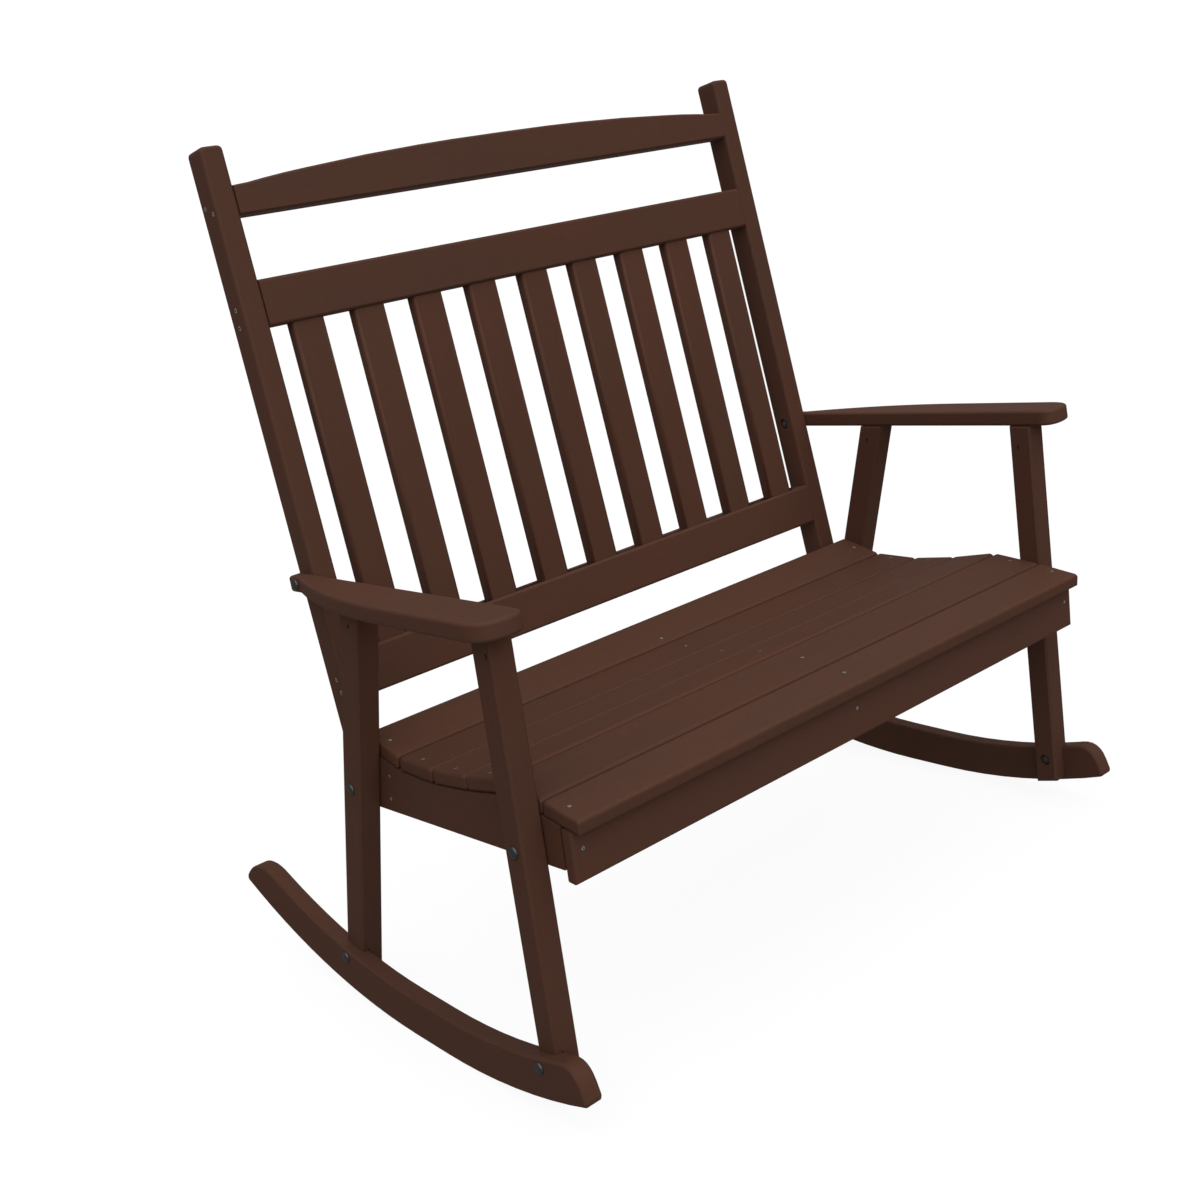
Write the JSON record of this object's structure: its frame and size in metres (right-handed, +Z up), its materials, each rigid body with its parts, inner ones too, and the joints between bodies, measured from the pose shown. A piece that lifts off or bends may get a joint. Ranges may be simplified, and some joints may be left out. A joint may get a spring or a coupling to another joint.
{
  "type": "rocking bench",
  "caption": "Two-seat outdoor rocking bench of poly lumber: slatted back with arched crest rail, scooped slat seat, flat arms, straight legs bolted to curved rockers.",
  "frame": {"origin": "on the floor, in the middle of the bench's overall width and depth, at rest on its rockers", "axes": "+Z up, -Y the way the sitters face, +X towards the bench's left-hand side as a sitter sees it"},
  "size_m": [1.202, 0.9322, 1.3083],
  "materials": {
    "lumber": "brown high-density polyethylene board with a fine brushed wood-like grain, satin",
    "hardware": "dark grey coated stainless steel, satin"
  },
  "bodies": {
    "root": {"arm_left": "lumber", "arm_right": "lumber", "arm_stile_bolt_left": "hardware", "arm_stile_bolt_right": "hardware", "arm_stile_nut_left": "hardware", "arm_stile_nut_right": "hardware", "back_slat_1": "lumber", "back_slat_2": "lumber", "back_slat_3": "lumber", "back_slat_4": "lumber", "back_slat_5": "lumber", "back_slat_6": "lumber", "back_slat_7": "lumber", "back_slat_8": "lumber", "back_slat_9": "lumber", "back_stile_left": "lumber", "back_stile_right": "lumber", "crest_rail": "lumber", "front_leg_left": "lumber", "front_leg_right": "lumber", "front_rocker_bolt_left": "hardware", "front_rocker_bolt_right": "hardware", "front_rocker_nut_left": "hardware", "front_rocker_nut_right": "hardware", "front_seat_bolt_left": "hardware", "front_seat_bolt_right": "hardware", "front_seat_nut_left": "hardware", "front_seat_nut_right": "hardware", "lower_rail": "lumber", "middle_rail": "lumber", "rear_leg_left": "lumber", "rear_leg_right": "lumber", "rear_rocker_bolt_left": "hardware", "rear_rocker_bolt_right": "hardware", "rear_rocker_nut_left": "hardware", "rear_rocker_nut_right": "hardware", "rear_seat_bolt_left": "hardware", "rear_seat_bolt_right": "hardware", "rear_seat_nut_left": "hardware", "rear_seat_nut_right": "hardware", "rocker_left": "lumber", "rocker_right": "lumber", "seat_apron": "lumber", "seat_centre_beam": "lumber", "seat_crossboard": "lumber", "seat_side_beam_left": "lumber", "seat_side_beam_right": "lumber", "seat_slat_1": "lumber", "seat_slat_2": "lumber", "seat_slat_3": "lumber", "seat_slat_4": "lumber", "seat_slat_5": "lumber", "seat_slat_6": "lumber"}
  },
  "joints": []
}
